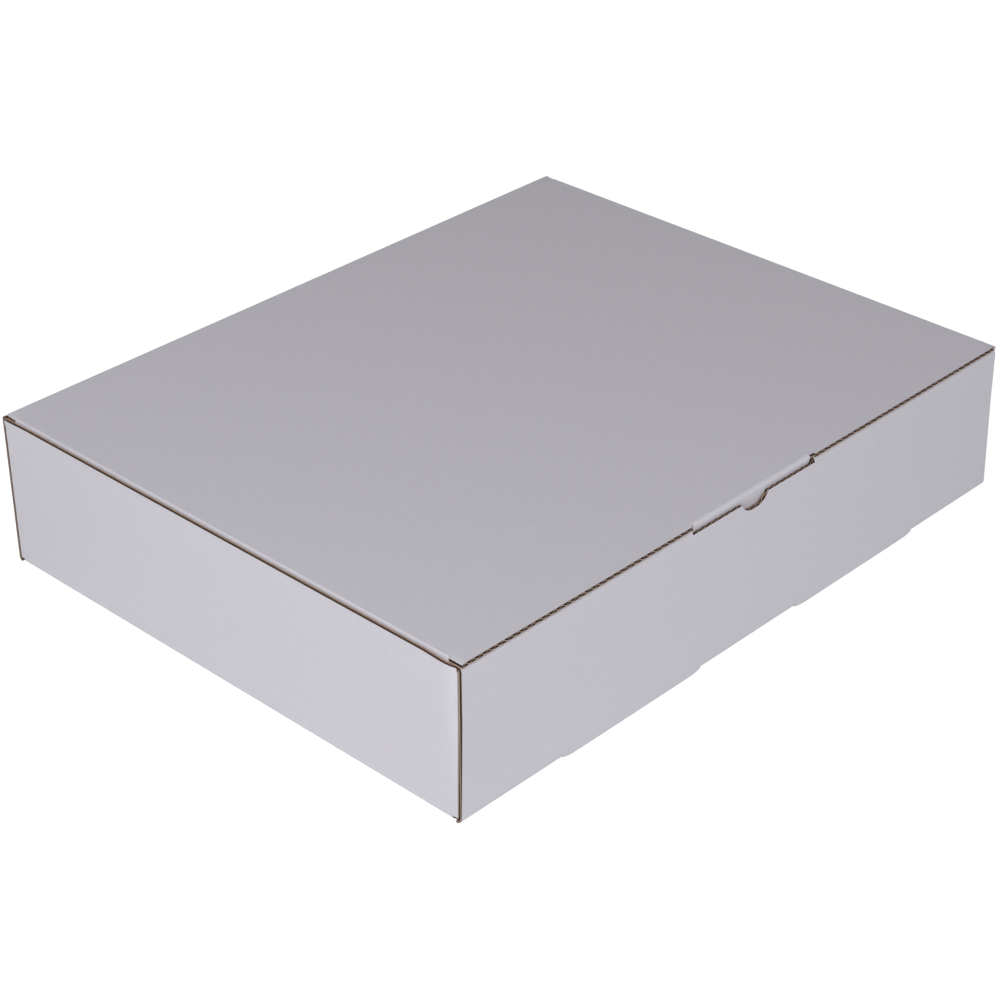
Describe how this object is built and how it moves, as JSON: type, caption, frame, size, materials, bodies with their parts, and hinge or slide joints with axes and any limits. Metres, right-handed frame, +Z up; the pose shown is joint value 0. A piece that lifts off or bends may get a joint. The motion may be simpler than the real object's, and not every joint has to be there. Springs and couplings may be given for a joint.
{
  "type": "tuck front mailing box",
  "caption": "Shallow folded corrugated mailing box with a double front wall and a hinged lid whose front tab tucks behind it.",
  "frame": {"origin": "centre of the box's footprint, on the surface it stands on", "axes": "+X to the right seen from the front, along the fold of the lid; +Y from the front wall to the rear wall; +Z up"},
  "size_m": [0.3, 0.24, 0.064],
  "materials": {
    "tray_board": "matte",
    "lid_board": "matte"
  },
  "bodies": {
    "tray": {"tray": "tray_board"},
    "lid": {"lid": "lid_board"}
  },
  "joints": [
    {"name": "lid_hinge", "type": "hinge", "parent": "tray", "child": "lid", "pos_m": [0, 0.11941, 0.06341], "axis": [-1, 0, 0], "range_deg": [0, 180]}
  ]
}
